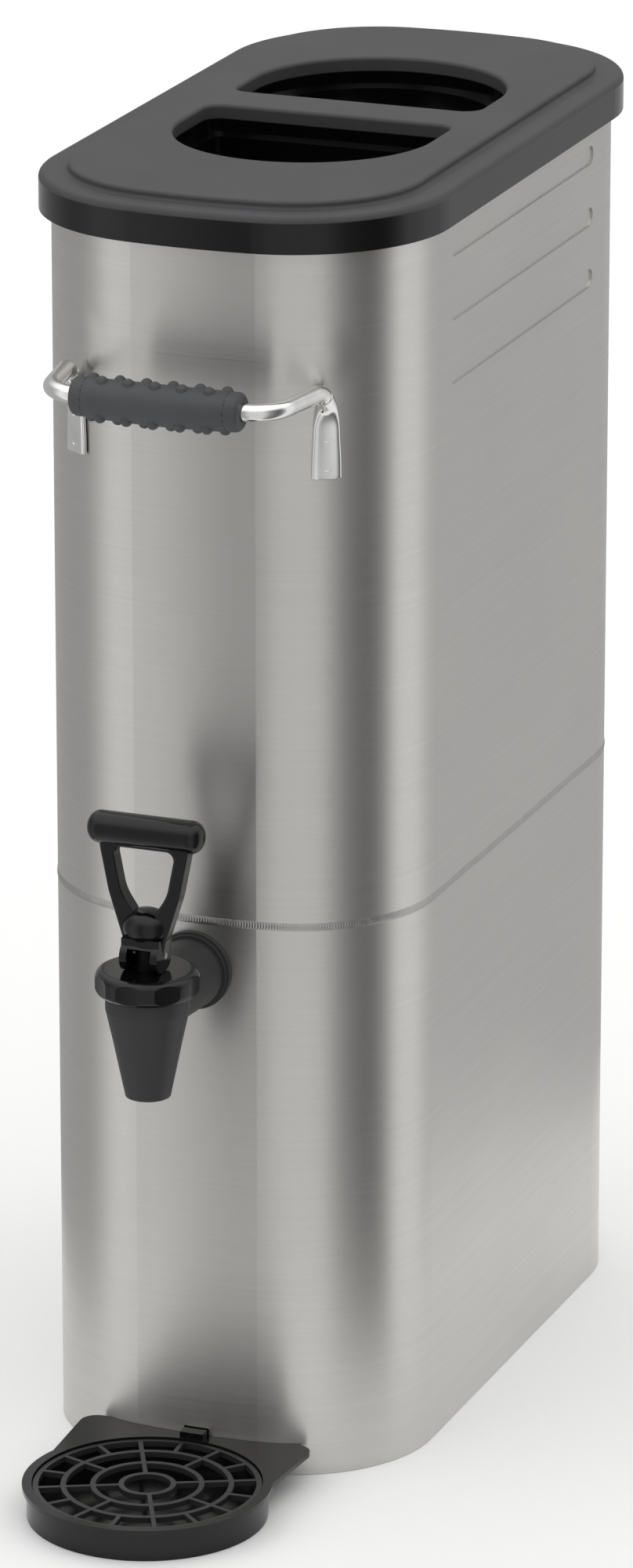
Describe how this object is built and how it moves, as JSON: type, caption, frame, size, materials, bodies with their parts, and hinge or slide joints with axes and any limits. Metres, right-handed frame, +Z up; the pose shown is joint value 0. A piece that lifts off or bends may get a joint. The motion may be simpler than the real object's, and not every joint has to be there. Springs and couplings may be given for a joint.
{
  "type": "cold beverage dispenser",
  "caption": "Slim stainless steel gravity dispenser for iced drinks, with a lift-off lid, carrying handles, a self-closing tap and a clip-in drip tray.",
  "frame": {"origin": "middle of the base plate's underside, on the counter", "axes": "+Z up, front with the tap faces -Y, +X to the right seen from the front"},
  "size_m": [0.186, 0.5106, 0.5837],
  "materials": {
    "shell_steel": "horizontal brushed grain",
    "weld_steel": "ground weld",
    "tank_steel": "plain mill finish",
    "polished_steel": "polished",
    "lid_plastic": "fine matte top",
    "grip_rubber": "matte",
    "tap_plastic": "matte moulded",
    "bonnet_plastic": "gloss",
    "stem_plastic": "matte moulded",
    "silicone": "soft",
    "spring_steel": "drawn wire",
    "washer_rubber": "matte",
    "tray_plastic": "satin",
    "grate_plastic": "satin"
  },
  "bodies": {
    "dispenser": {"upper_shell": "shell_steel", "lower_shell": "shell_steel", "shell_weld": "weld_steel", "tank_floor": "tank_steel", "floor_weld": "weld_steel", "base_plate": "tank_steel", "front_handle_rod": "polished_steel", "rear_handle_rod": "polished_steel", "front_handle_grip": "grip_rubber", "rear_handle_grip": "grip_rubber", "tap_body": "tap_plastic", "tap_bonnet": "bonnet_plastic", "outer_washer": "washer_rubber", "inner_washer": "washer_rubber", "shank_nut": "tap_plastic"},
    "lid": {"lid": "lid_plastic"},
    "stem": {"valve_stem": "stem_plastic", "seat_cup": "silicone", "tap_spring": "spring_steel"},
    "lever": {"tap_lever": "bonnet_plastic", "lever_pin": "spring_steel"},
    "tray": {"drip_tray": "tray_plastic"},
    "grate": {"drip_grate": "grate_plastic"}
  },
  "joints": [
    {"name": "lid_lift", "type": "slide", "parent": "dispenser", "child": "lid", "axis": [0, 0, 1], "range_m": [0, 0.12]},
    {"name": "stem_lift", "type": "slide", "parent": "dispenser", "child": "stem", "axis": [0, 0, 1], "range_m": [0, 0.0048], "deforming": ["tap_spring"]},
    {"name": "lever_tilt", "type": "hinge", "parent": "stem", "child": "lever", "pos_m": [0, -0.229, 0.2608], "axis": [1, 0, 0], "range_deg": [0, 60], "stiffness_Nm_per_rad": 0.0215, "springref_deg": -120.32},
    {"name": "tray_slide", "type": "slide", "parent": "dispenser", "child": "tray", "axis": [0, -1, 0], "range_m": [0, 0.05]},
    {"name": "grate_lift", "type": "slide", "parent": "tray", "child": "grate", "axis": [0, 0, 1], "range_m": [0, 0.04]}
  ],
  "couplings": [
    {"joint": "stem_lift", "follows": "lever_tilt", "m_per_rad": 0.0045}
  ]
}
